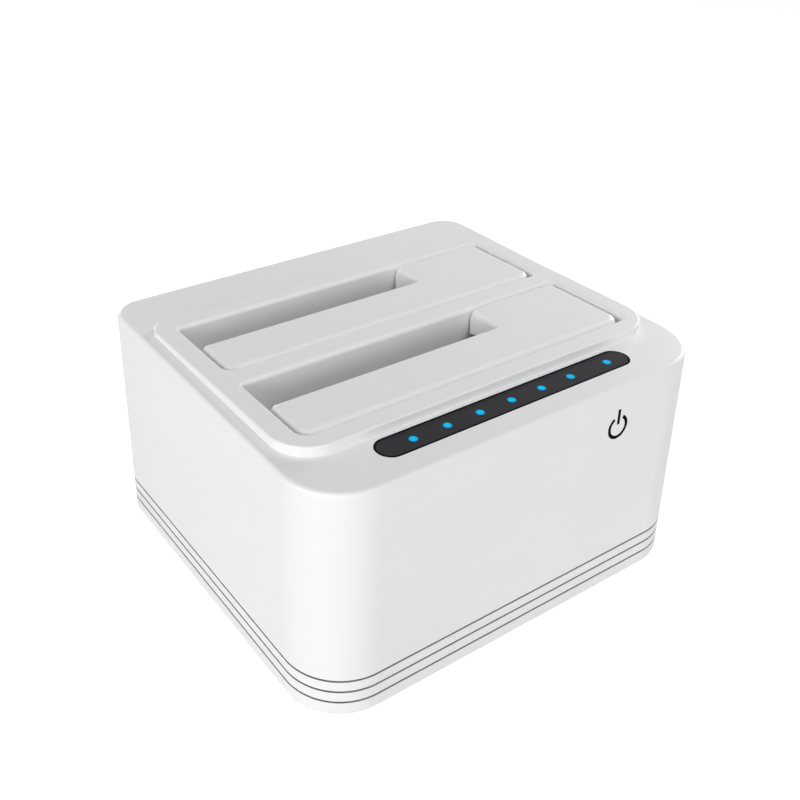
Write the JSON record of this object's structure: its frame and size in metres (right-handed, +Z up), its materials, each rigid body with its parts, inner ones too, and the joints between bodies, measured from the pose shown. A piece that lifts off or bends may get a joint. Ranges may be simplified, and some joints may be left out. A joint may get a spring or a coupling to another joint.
{
  "type": "hard drive docking station",
  "caption": "Desktop hard drive docking station, a rounded white box with open-topped bays under L-shaped sprung flaps, a smoked light window on its deck and sockets in its back.",
  "frame": {"origin": "on the table, under the middle of the body's footprint", "axes": "+Z up, front face with the power mark towards -Y, +X to the right seen from the front"},
  "size_m": [0.128, 0.1134, 0.0705],
  "materials": {
    "body_plastic": "fine satin moulded ABS",
    "well_plastic": "satin moulded ABS",
    "steel": "zinc-plated steel",
    "connector_plastic": "black glass-filled nylon",
    "contact_metal": "gold-plated copper alloy",
    "board_laminate": "green solder mask on glass laminate",
    "chip_resin": "moulded epoxy",
    "tin_leads": "tinned leads",
    "can_metal": "drawn aluminium can",
    "ferrite": "pressed ferrite",
    "shell_metal": "bright nickel plate",
    "blue_plastic": "blue nylon insert",
    "rocker_plastic": "gloss black nylon",
    "button_plastic": "grey gloss ABS",
    "smoked_window": "smoked polycarbonate, polished",
    "clear_light_pipe": "clear acrylic",
    "led_lens": "blue LED lens",
    "mark_ink": "black pad print",
    "ribbon_film": "polyimide film",
    "socket_plastic": "ivory nylon",
    "foot_rubber": "grey-black rubber"
  },
  "bodies": {
    "dock": {"base_cover": "body_plastic", "board_screws": "steel", "bridge_chip": "chip_resin", "capacitors": "can_metal", "chip_leads": "tin_leads", "clone_chip": "chip_resin", "clone_switch": "connector_plastic", "crystal": "can_metal", "dc_inlet_body": "connector_plastic", "dc_inlet_pin": "shell_metal", "drive_well": "well_plastic", "flap_spring_front": "steel", "flap_spring_rear": "steel", "foot_front_left": "foot_rubber", "foot_front_right": "foot_rubber", "foot_rear_left": "foot_rubber", "foot_rear_right": "foot_rubber", "hinge_pin_front": "steel", "hinge_pin_rear": "steel", "housing_screws": "steel", "inductors": "ferrite", "led_board": "board_laminate", "led_ribbon": "ribbon_film", "led_screws": "steel", "led_window": "smoked_window", "light_pipes": "clear_light_pipe", "light_shroud": "connector_plastic", "main_board": "board_laminate", "power_mark": "mark_ink", "ribbon_sockets": "socket_plastic", "rocker_frame": "connector_plastic", "rocker_terminals": "contact_metal", "sata_connector_front": "connector_plastic", "sata_connector_rear": "connector_plastic", "sata_contacts_front": "contact_metal", "sata_contacts_rear": "contact_metal", "status_leds": "led_lens", "top_plate": "body_plastic", "touch_board": "board_laminate", "touch_ribbon": "ribbon_film", "upper_housing": "body_plastic", "usb_contacts": "contact_metal", "usb_shell": "shell_metal", "usb_tongue": "blue_plastic", "well_screws": "steel"},
    "rear_flap": {"flap_rear": "body_plastic"},
    "front_flap": {"flap_front": "body_plastic"},
    "rocker": {"power_rocker": "rocker_plastic"},
    "copy_button": {"clone_button": "button_plastic"}
  },
  "joints": [
    {"name": "rear_flap_hinge", "type": "hinge", "parent": "dock", "child": "rear_flap", "pos_m": [0, -0.0007, 0.066], "axis": [-1, 0, 0], "range_deg": [0, 88], "stiffness_Nm_per_rad": 0.006, "springref_deg": -34.38, "deforming": ["flap_spring_rear"]},
    {"name": "front_flap_hinge", "type": "hinge", "parent": "dock", "child": "front_flap", "pos_m": [0, -0.037, 0.066], "axis": [-1, 0, 0], "range_deg": [0, 88], "stiffness_Nm_per_rad": 0.006, "springref_deg": -34.38, "deforming": ["flap_spring_front"]},
    {"name": "power_rocker_hinge", "type": "hinge", "parent": "dock", "child": "rocker", "pos_m": [0.022, 0.0515, 0.0172], "axis": [-1, 0, 0], "range_deg": [0, 20]},
    {"name": "copy_button_slide", "type": "slide", "parent": "dock", "child": "copy_button", "axis": [0, -1, 0], "range_m": [0, 0.0008], "stiffness_N_per_m": 400, "springref_m": -0.001}
  ]
}
